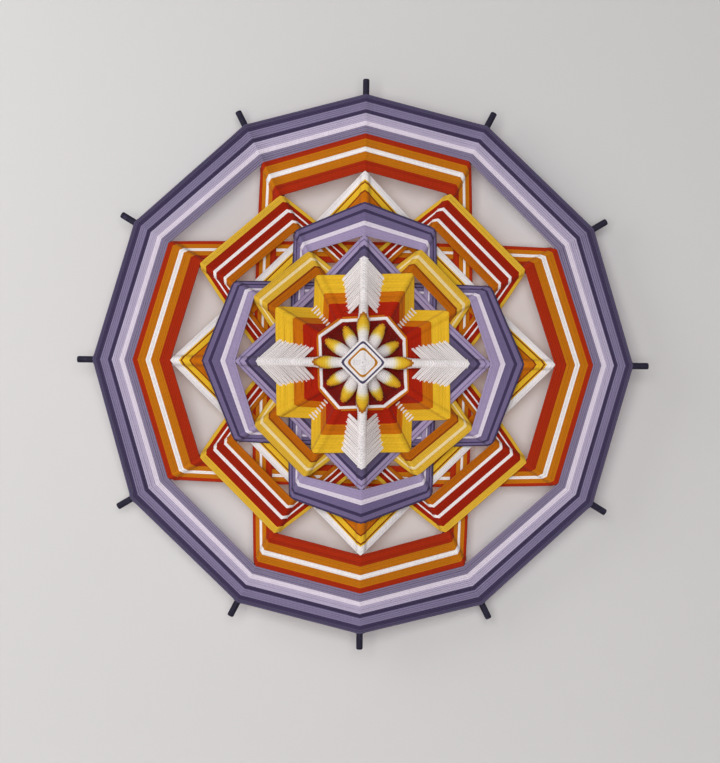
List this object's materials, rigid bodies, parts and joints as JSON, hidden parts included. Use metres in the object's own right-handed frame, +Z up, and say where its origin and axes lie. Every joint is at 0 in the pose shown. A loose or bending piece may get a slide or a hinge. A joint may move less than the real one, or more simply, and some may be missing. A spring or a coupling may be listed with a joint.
{
  "type": "ojo de dios",
  "caption": "Wall ornament of crossed dowels with coloured yarn wound round the spokes in a nested eye, star, diamonds, boxes, hexagons and rim.",
  "frame": {"origin": "centre of the hub, where the dowels of the middle cross meet", "axes": "+Z up along the upright dowel, +X to the right as seen from the front, +Y from the face to the wall"},
  "size_m": [0.61, 0.0481, 0.61],
  "materials": {
    "painted_wood": "satin paint",
    "white_yarn": "matte wool yarn",
    "yellow_yarn": "matte wool yarn",
    "orange_yarn": "matte wool yarn",
    "red_yarn": "matte wool yarn",
    "dark_red_yarn": "matte wool yarn",
    "slate_yarn": "matte wool yarn",
    "purple_yarn": "matte wool yarn",
    "lavender_yarn": "matte wool yarn",
    "lilac_yarn": "matte wool yarn",
    "indigo_yarn": "matte wool yarn"
  },
  "bodies": {
    "root": {"dowel_front_a": "painted_wood", "dowel_front_b": "painted_wood", "dowel_middle_a": "painted_wood", "dowel_middle_b": "painted_wood", "dowel_back_a": "painted_wood", "dowel_back_b": "painted_wood", "eye_core": "white_yarn", "eye_rim": "white_yarn", "petal_12": "yellow_yarn", "petal_3": "yellow_yarn", "petal_6": "yellow_yarn", "petal_9": "yellow_yarn", "petals_middle": "yellow_yarn", "petals_back": "yellow_yarn", "throat_red": "dark_red_yarn", "throat_white": "white_yarn", "star_upright_red": "red_yarn", "star_upright_orange": "orange_yarn", "star_upright_yellow": "yellow_yarn", "star_level_red": "red_yarn", "star_level_orange": "orange_yarn", "star_level_yellow": "yellow_yarn", "feather_12": "white_yarn", "feather_3": "white_yarn", "feather_6": "white_yarn", "feather_9": "white_yarn", "small_diamond_slate": "slate_yarn", "small_diamond_lavender": "lavender_yarn", "small_box_rising_orange": "orange_yarn", "small_box_rising_yellow": "yellow_yarn", "small_box_falling_orange": "orange_yarn", "small_box_falling_yellow": "yellow_yarn", "small_hexagon_upright_lavender": "lavender_yarn", "small_hexagon_upright_slate": "slate_yarn", "small_hexagon_level_lavender": "lavender_yarn", "small_hexagon_level_slate": "slate_yarn", "large_box_rising_orange": "orange_yarn", "large_box_rising_red": "red_yarn", "large_box_rising_yellow": "yellow_yarn", "large_box_falling_orange": "orange_yarn", "large_box_falling_red": "red_yarn", "large_box_falling_yellow": "yellow_yarn", "large_diamond_orange": "orange_yarn", "large_diamond_yellow": "yellow_yarn", "large_diamond_white": "white_yarn", "large_hexagon_upright_inner_red": "red_yarn", "large_hexagon_upright_inner_orange": "orange_yarn", "large_hexagon_upright_white": "white_yarn", "large_hexagon_upright_outer_orange": "orange_yarn", "large_hexagon_upright_outer_red": "red_yarn", "large_hexagon_level_inner_red": "red_yarn", "large_hexagon_level_inner_orange": "orange_yarn", "large_hexagon_level_white": "white_yarn", "large_hexagon_level_outer_orange": "orange_yarn", "large_hexagon_level_outer_red": "red_yarn", "rim_purple_grey": "purple_yarn", "rim_lilac": "lilac_yarn", "rim_lavender": "lavender_yarn", "rim_purple": "purple_yarn", "rim_indigo": "indigo_yarn"}
  },
  "joints": []
}
